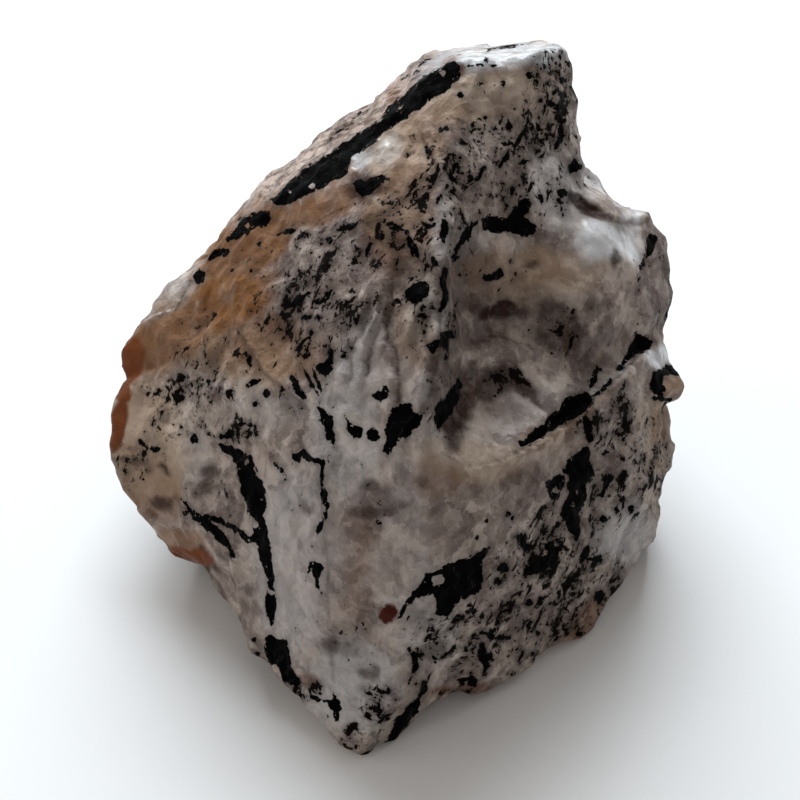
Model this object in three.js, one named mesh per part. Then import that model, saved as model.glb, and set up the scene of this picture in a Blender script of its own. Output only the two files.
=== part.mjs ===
// A hand-sized piece of rough, broken pegmatite, standing on its flattest broken face.
//
// The stone is one solid. Its broken faces are the planes between hand-placed corners, and each corner is given
// as the eye sees it from the broken front: x to the right and y up, both measured on the plane through the
// middle of the stone, and the depth towards the eye. All lengths are in millimetres.
//
// The finished frame has +X to the right, +Y away from the eye and +Z up. Its origin is the middle of the
// resting face.
import * as THREE from "three";
import { ConvexHull } from "three/addons/math/ConvexHull.js";
import { ImprovedNoise } from "three/addons/math/ImprovedNoise.js";
import { TessellateModifier } from "three/addons/modifiers/TessellateModifier.js";
import { mergeVertices } from "three/addons/utils/BufferGeometryUtils.js";

const EYE_DISTANCE = 380;
const EYE_ELEVATION = THREE.MathUtils.degToRad(45);
const REST_HEIGHT = 25.5; // of the point that the eye looks at, over the resting face

// The middle of the stone, in the finished frame. Relief is raised straight away from it.
const HEART = new THREE.Vector3(0, 0, 20);
const LONGEST_EDGE = 3.1; // of the triangles that carry the relief

// The outline of the stone, clockwise from the left end of its crest.
const CREST = [
  [-22.9, 20, -14],
  [-18.8, 25.3, -14],
  [-16.3, 28.2, -13],
  [-13.8, 30.2, -12],
  [-11.2, 32.1, -10],
  [-8.8, 34.3, -9],
  [-3.8, 37.2, -7],
  [-1.9, 39.1, -5],
  [0.6, 41, -4],
  [3.1, 42.9, -4],
  [6.3, 43.9, -4],
  [11.3, 44.4, -5],
  [16.3, 44.9, -4],
  [19.4, 44.8, 0],
];
const RIGHT_SIDE = [
  [20.8, 43.6, 2],
  [22, 39.4, 0],
  [22.6, 35, -1],
  [20.6, 31.9, -2],
  [22, 30.6, -5],
  [22.5, 28.8, -6],
  [24.6, 28.1, -8],
  [25.8, 25.5, -9],
  [29.5, 24, -8],
  [30.6, 22.2, -7],
  [33, 20.2, -9],
  [33.8, 16.2, -9],
  [34, 12.5, -9],
  [33, 8.8, -9],
  [32, 6.9, -10],
  [34, 4.8, -8],
  [36.1, 2.2, -7],
  [35.1, 0.1, -7],
  [33.3, 0, -8],
  [34.4, -5.6, -10],
  [33.1, -9.8, -11],
  [32.1, -12.5, -12],
  [31.9, -17.9, -13],
];
const LOWER_RIGHT_SIDE = [
  [29.6, -19.5, -11],
  [28.1, -22.5, -9],
  [24.8, -26.5, -6],
  [23.8, -28.4, -5],
  [20, -30, -2],
  [15, -34, 1],
  [10.8, -36.5, 2.5],
  [6.9, -36.1, 5],
  [2.5, -38.5, 8],
  [0.9, -41, 7],
  [-0.6, -42.8, 6.5],
  [-2.4, -43.1, 8],
  [-4.6, -44.7, 8.5],
];
const LOWER_LEFT_SIDE = [
  [-7.5, -43.5, 8],
  [-10, -40.2, 7],
  [-12.5, -36.6, 6.5],
  [-15, -35, 5],
  [-17.3, -33, 3.5],
  [-18.8, -31.2, 2],
  [-20.2, -26.3, -1],
  [-22.2, -25.2, -3],
  [-24.1, -20.4, -5],
  [-27.5, -19.8, -12],
  [-29.4, -17.5, -8],
];
const LEFT_SIDE = [
  [-32.2, -14.6, -7],
  [-34.4, -11.2, -8],
  [-36.3, -6.9, -9],
  [-35.9, -1, -10],
  [-34.1, 2.5, -11],
  [-35, 6, -12],
  [-31.6, 10, -9],
  [-29.4, 13.8, -10],
  [-25, 16.5, -8],
];

// The front spine, from the crest down to the foot.
const SPINE = [
  [5.6, 31.2, 17],
  [5, 20.6, 21],
  [5.4, 12.5, 23],
  [4.8, 5, 24.5],
  [3.1, -5, 25.5],
  [2.4, -10.5, 25],
  [3.4, -16, 24],
  [1.4, -22, 22.5],
  [0.9, -27.5, 20],
  [-1.2, -33.8, 16],
  [-1.4, -38, 13.5],
  [-4, -41.9, 11],
];
// Where the front faces break over into the narrow weathered face along the crest.
const CREST_EDGE = [
  [-23.5, 18.1, -6],
  [-19.4, 23.4, -3],
  [-13.8, 27.5, 1],
  [-7.5, 31.9, 4],
  [-1.9, 35.6, 7],
  [2.5, 39.4, 9.5],
  [6.9, 42.4, 10.5],
  [10, 41.2, 11],
  [14.4, 41.5, 10],
  [17.5, 43.5, 8],
];
// The crease that parts the broad left face from the band beside the spine.
const LEFT_CREASE = [
  [-8.8, 20, 12.5],
  [-9.8, 8, 16.5],
  [-9.8, 0, 18],
  [-9.4, -15, 18],
  [-10, -25, 15],
  [-9.4, -36, 10.5],
];
const LEFT_FACE = [
  [-18.8, 12.5, 4.5],
  [-25, -3.8, 1],
  [-27, 6, -3],
  [-18.4, 2, 9],
  [-16.9, -15, 9.5],
  [-16.5, -27, 6],
  [-29, -11, -3],
  [-22.6, -17.5, 2.5],
];
const UPPER_RIGHT_FACE = [
  [14.8, 36.3, 10.2],
  [20, 37, 4.6],
  [12, 28.8, 12.8],
  [18.6, 29.5, 6],
  [9.6, 21.9, 16],
  [16.4, 22.6, 10.3],
];
// The scooped hollow beside the spine, and the smooth shoulder to its right.
const HOLLOW = [
  [7.8, 15.6, 15.5],
  [7.8, 8.8, 15],
  [7.5, 0, 17],
  [8.1, -5, 19.5],
  [12.5, 16.3, 12.5],
  [13.1, 10, 9.5],
  [12.5, 1.3, 13],
  [14, -4.8, 15],
  [18.8, 12.5, 9],
  [19.4, 3.8, 8],
  [19.3, -2.1, 10.5],
  [23, 1.6, 6.3],
  [25.3, 4.5, 3.3],
  [29.2, 7.2, -1],
];
const SHOULDER = [
  [25, 20, 6],
  [21.3, 21.3, 6.5],
  [28.1, 17.5, 3],
  [25, 13.8, 6],
  [22.5, 26.2, 1],
  [26.9, 23.5, 0],
  [30.6, 16.3, -2],
  [31.3, 11.3, -2.5],
];
// The front edge of the ledge under the hollow, and the face below it.
const LEDGE = [
  [6.9, -8.8, 22.5],
  [15, -6, 17],
  [20, -3.5, 13],
  [24, -1.3, 9],
  [26.5, 1.9, 6],
  [30, 5, 1.5],
  [32.5, 4, -3],
  [35, 1.9, -5],
];
// In and behind the notches of the outline.
const NOTCHES = [
  [19.6, 31.5, -9],
  [20.6, 29.6, -12],
  [24.6, 25.2, -16],
  [31, 6.8, -17],
  [33.2, -1.2, -6.5],
  [32.2, -1.2, -12],
  [32.4, -6, -18],
  [30.8, -17, -20],
  [6.5, -36, 0.5],
  [2.2, -38.6, 3.5],
  [-19.8, -26.5, -4],
  [-21.8, -25, -8],
  [-23.5, -20.5, -12],
];
const LOWER_RIGHT_FACE = [
  [12.5, -15, 18.5],
  [22.5, -10, 7.5],
  [29.5, -2.5, 2],
  [30, -11.3, -2],
  [25, -20, -1],
  [15, -25, 9],
  [7.5, -30, 13],
  [2.5, -35, 12.5],
];

// Corners that the eye doesn't see, in the finished frame: the resting face, and the back.
const RESTING_FACE = [
  [-3, -30, -1],
  [-16, -12, -1],
  [-22, 4, -1],
  [-14, 18, -1],
  [6, 22, -1],
  [22, 14, -1],
  [26, -4, -1],
  [12, -22, -1],
  [0, 0, -1],
];
const BACK = [
  [-32, 14, 13],
  [-28, 26, 16],
  [-18, 31, 24],
  [-6, 38, 28],
  [8, 40, 36],
  [15, 37, 44],
  [20, 35, 36],
  [28, 30, 20],
  [30, 16, 8],
  [-4, 34, 8],
  [14, 32, 8],
  [-22, 24, 5],
];

// Broken surfaces: soft swells between the corners, a finer grain over them, and flat chips.
const SWELL = { wavelength: 11, height: 0.7 };
const GRAIN = { wavelength: 3.6, height: 0.3 };
const CHIPS = { size: 5.5, slope: 0.13, step: 0.22, crispness: 9 };

const cornersAsSeen = [
  ...CREST,
  ...RIGHT_SIDE,
  ...LOWER_RIGHT_SIDE,
  ...LOWER_LEFT_SIDE,
  ...LEFT_SIDE,
  ...SPINE,
  ...CREST_EDGE,
  ...LEFT_CREASE,
  ...LEFT_FACE,
  ...UPPER_RIGHT_FACE,
  ...HOLLOW,
  ...SHOULDER,
  ...LEDGE,
  ...NOTCHES,
  ...LOWER_RIGHT_FACE,
];

// A corner as the eye sees it, in the finished frame.
function fromView([x, y, depth]) {
  const nearness = 1 - depth / EYE_DISTANCE;
  return new THREE.Vector3(x * nearness, y * nearness, depth)
    .applyAxisAngle(new THREE.Vector3(1, 0, 0), Math.PI / 2 - EYE_ELEVATION)
    .add(new THREE.Vector3(0, 0, REST_HEIGHT));
}

// The flat faces: neighbouring corners, as seen from the heart, are joined in threes.
function flatFaces() {
  const corners = [
    ...cornersAsSeen.map(fromView),
    ...[...RESTING_FACE, ...BACK].map((corner) => new THREE.Vector3(...corner)),
  ];
  const cornerOfRay = new Map(
    corners.map((corner) => [corner.clone().sub(HEART).normalize(), corner]),
  );
  const hull = new ConvexHull().setFromPoints([...cornerOfRay.keys()]);
  const points = hull.faces.flatMap(({ edge }) =>
    [edge.prev, edge, edge.next].map((side) => cornerOfRay.get(side.head().point)),
  );
  const swellAtCorners = points.flatMap((point) => [waves(point, SWELL), 0]);
  return new THREE.BufferGeometry()
    .setFromPoints(points)
    .setAttribute("uv", new THREE.Float32BufferAttribute(swellAtCorners, 2));
}

const noise = new ImprovedNoise();

function waves(point, { wavelength, height }) {
  const p = point.clone().divideScalar(wavelength);
  return height * noise.noise(p.x + 40, p.y + 40, p.z + 40);
}

// A number from -1 to 1 that stays the same for the same cell of space.
function cellNumber(cell, kind) {
  const wave = Math.sin(cell.x * 127.1 + cell.y * 311.7 + cell.z * 74.7 + kind * 53.3) * 43758.5453;
  return 2 * (wave - Math.floor(wave)) - 1;
}

// Each chip is the flat patch nearest to its own centre, tilted and shifted its own way.
function chips(point, { size, slope, step, crispness }) {
  const p = point.clone().divideScalar(size);
  const home = p.clone().floor();
  const cell = new THREE.Vector3();
  const away = new THREE.Vector3();
  const tilt = new THREE.Vector3();
  let height = 0;
  let shares = 0;
  for (let i = 0; i < 27; i++) {
    cell.set((i % 3) - 1, (Math.floor(i / 3) % 3) - 1, Math.floor(i / 9) - 1).add(home);
    away.set(cellNumber(cell, 1), cellNumber(cell, 2), cellNumber(cell, 3)).multiplyScalar(0.4);
    away.addScalar(0.5).add(cell).sub(p).negate();
    tilt.set(cellNumber(cell, 4), cellNumber(cell, 5), cellNumber(cell, 6));
    const share = Math.exp(-crispness * away.lengthSq());
    height += share * (slope * size * tilt.dot(away) + step * cellNumber(cell, 7));
    shares += share;
  }
  return height / shares;
}

// The relief is raised from the flat faces. Its swells leave the corners of the faces where they are.
function rockGeometry() {
  const fine = new TessellateModifier(LONGEST_EDGE, 16).modify(flatFaces());
  const geometry = mergeVertices(fine, 1e-3);
  const { position, uv } = geometry.attributes;
  const point = new THREE.Vector3();
  const ray = new THREE.Vector3();
  for (let i = 0; i < position.count; i++) {
    point.fromBufferAttribute(position, i);
    const swell = waves(point, SWELL) - uv.getX(i);
    const height = swell + waves(point, GRAIN) + chips(point, CHIPS);
    ray.subVectors(point, HEART);
    point.addScaledVector(ray.clone().normalize(), height);
    if (point.z < 0) point.addScaledVector(ray, -point.z / ray.z);
    position.setXYZ(i, point.x, point.y, Math.abs(point.z) < 1e-6 ? 0 : point.z);
  }
  geometry.deleteAttribute("uv");
  geometry.computeVertexNormals();
  return geometry;
}

const rock = new THREE.Mesh(
  rockGeometry(),
  new THREE.MeshStandardMaterial({ color: 0x9c918a, roughness: 0.6, metalness: 0 }),
);
rock.name = "rock";

const stone = new THREE.Group();
stone.add(rock);
export default stone;
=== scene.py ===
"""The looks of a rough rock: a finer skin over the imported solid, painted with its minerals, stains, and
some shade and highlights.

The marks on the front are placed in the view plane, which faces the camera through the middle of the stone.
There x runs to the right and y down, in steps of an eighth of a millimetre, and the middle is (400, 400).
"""
import math

import bmesh
import bpy
import numpy as np
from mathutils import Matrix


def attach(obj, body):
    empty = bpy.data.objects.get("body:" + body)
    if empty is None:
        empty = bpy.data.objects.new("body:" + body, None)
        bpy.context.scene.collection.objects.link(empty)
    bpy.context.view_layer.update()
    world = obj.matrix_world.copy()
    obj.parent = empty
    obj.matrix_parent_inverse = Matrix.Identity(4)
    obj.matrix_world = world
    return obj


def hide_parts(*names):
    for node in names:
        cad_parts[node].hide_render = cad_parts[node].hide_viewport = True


MM = 0.001

# The eye, in millimetres: it looks at the middle of the stone, where the view is this wide.
EYE_DISTANCE = 380.0
EYE_ELEVATION = math.radians(45)
LOOK_HEIGHT = 25.5
VIEW_WIDTH = 100.0
RISE, LEVEL = math.sin(EYE_ELEVATION), math.cos(EYE_ELEVATION)
EYE = np.array([0, -EYE_DISTANCE * LEVEL, LOOK_HEIGHT + EYE_DISTANCE * RISE])

# The view plane.
STEPS_PER_MM = 8.0
VIEW_MIDDLE = 400.0

# How far around a mark its distance is worked out, in steps. Further away it counts as this far outside.
MARK_REACH = 30.0

# Black minerals, each the outline of a patch. The black of the gash is partly painted shade deep in its
# crack.
PATCHES = {
    "long_prism": [
        (215, 443), (230, 445), (238, 449), (249, 454), (254, 464), (257, 474), (263, 480), (266, 494),
        (267, 508), (261, 515), (266, 524), (269, 538), (272, 552), (273, 566), (275, 576), (274, 586),
        (277, 600), (277, 612), (274, 619), (272, 630), (270, 622), (267, 614), (264, 602), (267, 592),
        (268, 580), (262, 566), (260, 556), (258, 544), (253, 538), (252, 526), (254, 520), (249, 515),
        (246, 506), (243, 496), (240, 484), (237, 470), (236, 462), (230, 456), (222, 451),
    ],
    "leaf": [
        (318, 407), (326, 411), (332, 418), (333, 428), (337, 435), (334, 447), (330, 443), (324, 430),
        (319, 419),
    ],
    "foot_square": [
        (265, 638), (270, 636), (276, 638), (287, 638), (289, 644), (290, 656), (294, 670), (299, 678),
        (300, 687), (290, 686), (283, 680), (279, 668), (268, 663), (265, 652),
    ],
    "foot_blob": [
        (331, 687), (335, 695), (341, 702), (340, 712), (338, 722), (333, 718), (331, 710), (328, 702),
        (333, 697),
    ],
    "middle_blob": [
        (311, 562), (319, 563), (323, 567), (321, 574), (317, 580), (313, 577), (311, 570), (307, 575),
        (307, 569),
    ],
    "foot_band": [
        (422, 679), (427, 681), (427, 690), (420, 702), (418, 712), (410, 722), (404, 730), (394, 742),
        (384, 744), (391, 730), (396, 718), (406, 708), (414, 700), (419, 690),
    ],
    "right_patch": [
        (396, 621), (400, 612), (408, 600), (416, 588), (424, 580), (427, 572), (432, 573), (438, 570),
        (446, 564), (458, 560), (470, 558), (478, 551), (490, 547), (483, 560), (483, 582), (480, 594),
        (470, 596), (462, 600), (456, 606), (450, 614), (440, 618), (434, 614), (436, 602), (432, 594),
        (428, 596), (416, 598), (408, 606), (400, 620),
    ],
    "crest_band": [
        (454, 59), (461, 65), (457, 81), (445, 92), (430, 102), (415, 112), (402, 121), (392, 127),
        (380, 137), (370, 147), (352, 158), (347, 175), (332, 182), (315, 192), (297, 202), (278, 206),
        (270, 200), (277, 195), (290, 180), (310, 165), (330, 152), (347, 140), (365, 130), (384, 117),
        (390, 105), (402, 95), (425, 75),
    ],
    "crest_low": [
        (224, 238), (236, 230), (240, 218), (248, 216), (256, 211), (270, 209), (272, 218), (266, 226),
        (258, 227), (250, 232), (240, 238), (230, 243),
    ],
    "crest_dot": [(193, 274), (200, 269), (206, 274), (204, 282), (198, 285), (194, 282)],
    "crest_dark": [(212, 252), (220, 248), (230, 250), (228, 255), (218, 257), (210, 262), (209, 257)],
    "bird": [
        (481, 220), (492, 214), (505, 219), (514, 210), (519, 200), (526, 197), (531, 205), (526, 217),
        (537, 224), (535, 235), (522, 237), (510, 232), (497, 234), (484, 230),
    ],
    "neck": [(576, 157), (582, 167), (577, 174), (569, 174), (569, 165)],
    "left_triangle": [
        (332, 344), (334, 352), (333, 360), (331, 372), (326, 379), (319, 374), (316, 366), (325, 361),
        (329, 352),
    ],
    "spine_triangle": [(370, 395), (380, 389), (388, 382), (389, 398), (378, 402)],
    "spine_big": [
        (392, 408), (400, 404), (410, 403), (412, 412), (420, 415), (428, 408), (420, 426), (408, 436),
        (400, 440), (394, 446), (388, 456), (383, 452), (384, 432), (388, 420),
    ],
    "spine_upper": [(406, 291), (413, 283), (422, 281), (430, 286), (428, 297), (417, 304), (407, 302)],
    "spine_side": [
        (424, 346), (432, 342), (438, 338), (440, 333), (448, 330), (455, 328), (456, 338), (449, 341),
        (449, 350), (448, 359), (443, 360), (445, 352), (443, 347), (438, 348), (435, 358), (429, 352),
    ],
    # The gash: black mineral, and painted shade deep in the sunk crack.
    "gash": [
        (520, 448), (518, 442), (526, 437), (532, 430), (544, 424), (548, 416), (558, 410), (565, 397),
        (575, 395), (587, 392), (594, 400), (592, 406), (580, 415), (562, 425), (550, 432), (540, 440),
    ],
    "gash_arm": [(589, 392), (592, 375), (596, 364), (601, 369), (597, 381), (591, 391)],
    "gash_far": [
        (617, 370), (625, 355), (637, 331), (645, 337), (654, 341), (647, 350), (632, 357), (620, 372),
    ],
    "block_hook": [
        (652, 372), (665, 366), (675, 364), (682, 372), (677, 376), (665, 375), (662, 385), (667, 392),
        (660, 397), (652, 392), (650, 382),
    ],
    "lower_right": [
        (580, 450), (590, 446), (590, 460), (596, 474), (586, 486), (586, 500), (580, 512), (581, 528),
        (580, 542), (574, 542), (568, 528), (562, 516), (562, 508), (568, 492), (567, 476), (562, 470),
        (568, 460),
    ],
    "lower_right_small": [(546, 484), (556, 473), (564, 476), (563, 490), (554, 504), (547, 495)],
    "edge_blob": [(593, 596), (600, 589), (607, 592), (604, 600), (598, 606)],
    "lobe_streak": [(649, 228), (657, 238), (656, 248), (647, 259), (640, 272), (638, 270), (646, 252)],
    "crest_brown": [
        (352, 183), (358, 178), (366, 181), (372, 176), (382, 173), (389, 178), (384, 184), (377, 187),
        (371, 195), (362, 196), (355, 191),
    ],
    "spine_leaf": [(345, 416), (350, 423), (356, 426), (363, 429), (361, 438), (352, 440), (347, 432)],
    "spine_drop": [(368, 431), (374, 427), (379, 430), (380, 438), (372, 442), (366, 438)],
    "hollow_left": [
        (443, 398), (452, 388), (459, 375), (461, 384), (458, 400), (453, 411), (446, 422), (438, 430),
        (434, 420), (436, 406),
    ],
}

# Pale grains inside the black minerals, each a middle and a half-width.
GRAINS = [
    (247, 462, 2.6), (256, 525, 2.4), (272, 592, 2), (438, 580, 5.5), (556, 490, 3.4), (577, 492, 2.2),
    (574, 505, 2), (312, 186, 2.6), (290, 192, 2), (247, 226, 2), (443, 73, 2), (400, 107, 1.8),
]

# Thin black minerals: points on a line, each with the half-width there.
VEINS = [
    [(253, 538, 4), (247, 538, 4), (240, 533, 3), (232, 527, 2.4), (220, 521, 2.6), (204, 517, 2.6),
     (194, 515, 2.6), (187, 505, 2), (181, 499, 1.4)],
    [(194, 518, 2.5), (204, 523, 4.5), (214, 530, 5), (222, 538, 5), (229, 546, 3), (232, 555, 2.6)],
    [(297, 458, 4.5), (303, 454, 4), (311, 460, 2.6), (324, 462, 2.4), (322, 473, 2.2), (322, 484, 1.6),
     (324, 495, 3), (327, 508, 3.4), (325, 518, 1.6), (321, 526, 3), (318, 532, 1.4)],
    [(275, 464, 2.6), (281, 469, 3.4), (286, 478, 2.6)],
    [(316, 580, 2.2), (318, 586, 2), (321, 594, 1.2)],
    [(303, 696, 1.6), (314, 698, 2), (324, 700, 2.2), (334, 703, 2)],
    [(410, 649, 2.4), (415, 656, 4), (416, 664, 4), (413, 674, 2.6), (409, 684, 1.6)],
    [(477, 221, 2), (470, 228, 3.4), (464, 238, 3.8), (457, 250, 3), (454, 257, 1.4)],
    [(444, 223, 2.6), (444, 232, 4.4), (444, 240, 2.4)],
    [(409, 238, 2), (412, 246, 4), (417, 256, 2)],
    [(430, 256, 1.6), (434, 264, 3.6), (431, 272, 1.6)],
    [(446, 270, 3), (443, 284, 3.4), (446, 298, 3), (440, 310, 2.4)],
    [(486, 279, 3), (492, 277, 4), (500, 273, 3.6)],
    [(339, 230, 1.8), (348, 228, 2.8), (360, 221, 1.4)],
    [(371, 243, 2), (368, 250, 3.2), (367, 257, 2)],
    [(387, 223, 2), (395, 227, 3), (405, 231, 2.4)],
    [(277, 236, 1.6), (285, 231, 2.8), (295, 231, 1.6)],
    [(294, 304, 4), (301, 298, 4), (308, 293, 2)],
    [(316, 302, 2.6), (324, 299, 3), (332, 290, 2)],
    [(301, 318, 1.6), (312, 318, 2.4), (322, 317, 1.4)],
    [(297, 350, 2), (304, 341, 1.4), (312, 332, 2), (309, 342, 1.4), (307, 352, 1.8)],
    [(246, 352, 1.6), (249, 360, 2.4), (251, 366, 2)],
    [(246, 386, 2.6), (254, 382, 2.6), (260, 380, 1.2)],
    [(292, 378, 2.6), (297, 388, 4), (303, 398, 3)],
    [(302, 366, 1.6), (308, 378, 2), (316, 390, 2), (320, 398, 1.4)],
    [(312, 366, 1.4), (317, 380, 1.8), (322, 392, 1.4)],
    [(141, 442, 2), (147, 447, 2), (154, 451, 2), (160, 448, 1.6)],
    [(609, 476, 3), (606, 486, 3.6), (601, 496, 3)],
    [(586, 421, 4), (589, 430, 4.6), (590, 439, 3)],
    [(550, 546, 4), (555, 553, 5), (549, 560, 6), (538, 566, 6), (528, 572, 5)],
    [(587, 549, 3.4), (584, 556, 3), (581, 563, 2)],
    [(586, 558, 2), (593, 560, 2.4), (599, 558, 3)],
    [(482, 632, 1.8), (492, 637, 3), (508, 638, 2.4)],
    [(482, 646, 3.4), (483, 656, 5.4), (486, 667, 4), (484, 674, 2.4)],
    [(489, 656, 3), (493, 660, 2.4)],
    [(523, 652, 1.6), (519, 662, 1.8)],
    [(519, 537, 4), (524, 545, 3.4), (528, 550, 2)],
    [(480, 553, 2.2), (489, 548, 2.2)],
    [(655, 398, 2), (670, 400, 1.6)],
    [(362, 755, 1.8), (372, 752, 2.2), (378, 746, 1.6)],
    [(222, 437, 2.4), (230, 434, 4), (236, 432, 3)],
    [(237, 424, 2), (247, 424, 2.4), (254, 426, 1.6)],
    [(421, 222, 1.6), (427, 227, 2.2), (434, 225, 1.6)],
    [(450, 178, 1.6), (455, 168, 2), (459, 158, 1.2)],
    [(500, 166, 2), (506, 158, 3), (509, 150, 1.4)],
    [(470, 186, 1.8), (478, 178, 2.6), (484, 168, 1.6)],
    [(512, 188, 1.6), (513, 194, 2.2)],
    [(520, 165, 2), (528, 161, 2.2)],
    [(556, 147, 1.8), (561, 139, 3), (563, 132, 1.6)],
    [(437, 202, 1.4), (443, 193, 1.8), (447, 186, 1.2)],
    [(452, 262, 1.4), (458, 256, 1.8)],
    [(541, 196, 1.2), (543, 203, 1.4)],
    [(487, 50, 0.6), (505, 47, 1.2), (530, 44, 0.8)],
    [(468, 66, 0.6), (482, 64, 1.4), (496, 65, 0.6)],
    [(418, 66, 0.8), (424, 61, 2.2), (430, 60, 0.8)],
    [(402, 80, 0.6), (412, 73, 1.6), (420, 70, 0.6)],
    [(352, 120, 0.6), (360, 113, 1.4), (368, 110, 0.6)],
    [(330, 140, 0.6), (338, 132, 1.5), (350, 126, 0.8)],
    [(594, 396, 1.0), (604, 388, 1.6), (612, 379, 0.8)],
    [(676, 292, 1.0), (673, 302, 2.4), (672, 312, 1.0)],
]

# Round black minerals: the middle and the half-width.
DOTS = [
    (194, 438, 4.4), (186, 513, 2.6), (327, 716, 2), (267, 393, 4), (255, 404, 2.6), (260, 244, 3),
    (232, 270, 1.8), (479, 84, 3.2), (461, 95, 3), (530, 75, 4.4), (485, 61, 3.2), (503, 84, 2),
    (427, 150, 3), (441, 131, 2.4), (447, 128, 2), (562, 193, 4.6), (343, 357, 3.4), (351, 347, 2.6),
    (508, 514, 3), (512, 518, 2), (486, 521, 2), (477, 538, 1.8), (503, 568, 5.6), (498, 581, 3.6),
    (529, 602, 3.6), (623, 488, 4), (622, 500, 2.8), (617, 510, 2.6), (631, 510, 4.4), (604, 519, 3.8),
    (466, 650, 3), (472, 681, 5.4), (532, 654, 2.8), (556, 638, 2.8), (538, 634, 2.8), (340, 742, 2.4),
    (254, 640, 2), (257, 654, 3), (281, 330, 2.6), (330, 240, 3.4), (545, 52, 1.8), (552, 60, 2),
    (560, 58, 2), (545, 66, 2.4), (556, 72, 2.2), (563, 80, 2.6), (548, 84, 2), (555, 92, 2.6),
    (564, 95, 2.8), (571, 88, 2), (541, 101, 2.4), (551, 104, 3), (560, 107, 3.4), (568, 103, 2.6),
    (539, 118, 1.8), (548, 122, 2), (563, 119, 2.4), (495, 128, 2.2), (486, 118, 1.8), (515, 108, 1.6),
    (500, 112, 1.6), (470, 112, 1.6), (573, 88, 2.4),
]

# The one dark red grain: the middle and the half-width.
GARNET = (388, 614, 8.5)

# Loose speckling: the middle and the two half-widths of each area, and how much of it is speckled.
SPECKLED = [
    (186, 392, 48, 17, 1.0), (190, 420, 46, 16, 0.75), (235, 430, 26, 15, 0.75), (165, 440, 26, 26, 0.5),
    (310, 310, 70, 52, 0.85), (350, 245, 60, 38, 0.85), (232, 345, 62, 38, 0.65), (300, 385, 40, 34, 0.5),
    (400, 235, 48, 46, 0.8), (270, 270, 40, 30, 0.4), (500, 165, 90, 46, 0.9), (440, 205, 44, 46, 0.8),
    (556, 100, 30, 56, 1.0), (540, 190, 40, 40, 0.6), (430, 290, 36, 60, 0.75), (450, 140, 40, 30, 0.6),
    (480, 90, 60, 30, 0.35), (560, 335, 46, 34, 0.6), (568, 332, 18, 30, 1.0), (512, 376, 20, 10, 1.0),
    (492, 386, 18, 12, 0.8), (490, 270, 40, 24, 0.6), (440, 400, 22, 40, 0.7), (500, 385, 50, 24, 0.4),
    (615, 425, 46, 34, 0.95), (645, 470, 36, 50, 0.85), (600, 500, 44, 40, 0.8), (550, 575, 76, 46, 1.0),
    (500, 632, 80, 38, 0.9), (555, 535, 50, 34, 0.9), (560, 615, 50, 34, 0.9), (450, 665, 50, 38, 0.75),
    (385, 705, 26, 20, 1.0), (362, 742, 24, 20, 1.0), (300, 690, 28, 16, 0.8), (130, 460, 24, 26, 0.7),
    (655, 290, 20, 46, 0.55), (425, 500, 44, 40, 0.2), (375, 500, 24, 22, 0.5), (600, 385, 30, 18, 0.6),
    (330, 480, 50, 60, 0.3), (220, 500, 40, 40, 0.45), (345, 640, 40, 40, 0.45),
]

# Stains, tints and painted light on the grains: the middle, the two half-widths, the turn in degrees, and
# the strength.
OCHRE = [
    (245, 250, 60, 30, -40, 0.9), (225, 300, 50, 32, -20, 1.0), (250, 340, 75, 36, 20, 0.6),
    (170, 340, 40, 30, -30, 0.85), (300, 210, 62, 16, -32, 0.8), (144, 430, 24, 70, 0, 0.25),
    (150, 480, 26, 50, -25, 0.45), (180, 545, 28, 14, 20, 0.6), (400, 215, 34, 60, 10, 0.45),
    (500, 100, 60, 26, -10, 0.12), (430, 130, 46, 26, -35, 0.3), (510, 272, 60, 22, 0, 0.32),
    (470, 462, 40, 18, 10, 0.1), (560, 435, 44, 16, -30, 0.2), (330, 205, 40, 14, -25, 0.7),
    (440, 480, 30, 22, 0, 0.4), (590, 620, 44, 12, -45, 0.5), (660, 420, 10, 30, 0, 0.5),
    (672, 386, 14, 10, -10, 0.5), (400, 345, 30, 50, 0, 0.25), (340, 560, 70, 60, 0, 0.15),
]
CREAM = [
    (150, 440, 36, 60, -10, 0.85), (240, 356, 60, 28, 18, 0.6), (480, 96, 70, 26, -4, 0.7),
    (405, 150, 40, 40, 20, 0.6), (470, 460, 56, 20, 8, 0.5), (560, 424, 50, 12, -30, 0.6),
    (530, 276, 70, 26, 0, 0.55), (422, 320, 20, 36, 15, 0.4), (655, 440, 12, 60, 0, 0.5),
    (676, 388, 12, 8, -10, 0.6), (175, 300, 22, 14, -40, 0.5), (395, 210, 26, 40, 0, 0.5),
    (600, 620, 40, 12, -45, 0.4),
]
RUST = [
    (130, 360, 15, 26, 5, 1.0), (119, 425, 9, 26, 8, 1.0), (123, 392, 8, 14, 0, 0.9),
    (190, 556, 24, 8, 16, 0.9), (681, 396, 12, 4, -20, 0.5), (450, 63, 10, 6, -35, 0.5),
    (395, 98, 9, 14, -30, 0.5), (463, 68, 5, 7, 0, 0.7), (310, 680, 12, 9, 20, 0.5),
    (470, 690, 60, 6, 0, 0.5),
]
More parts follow.
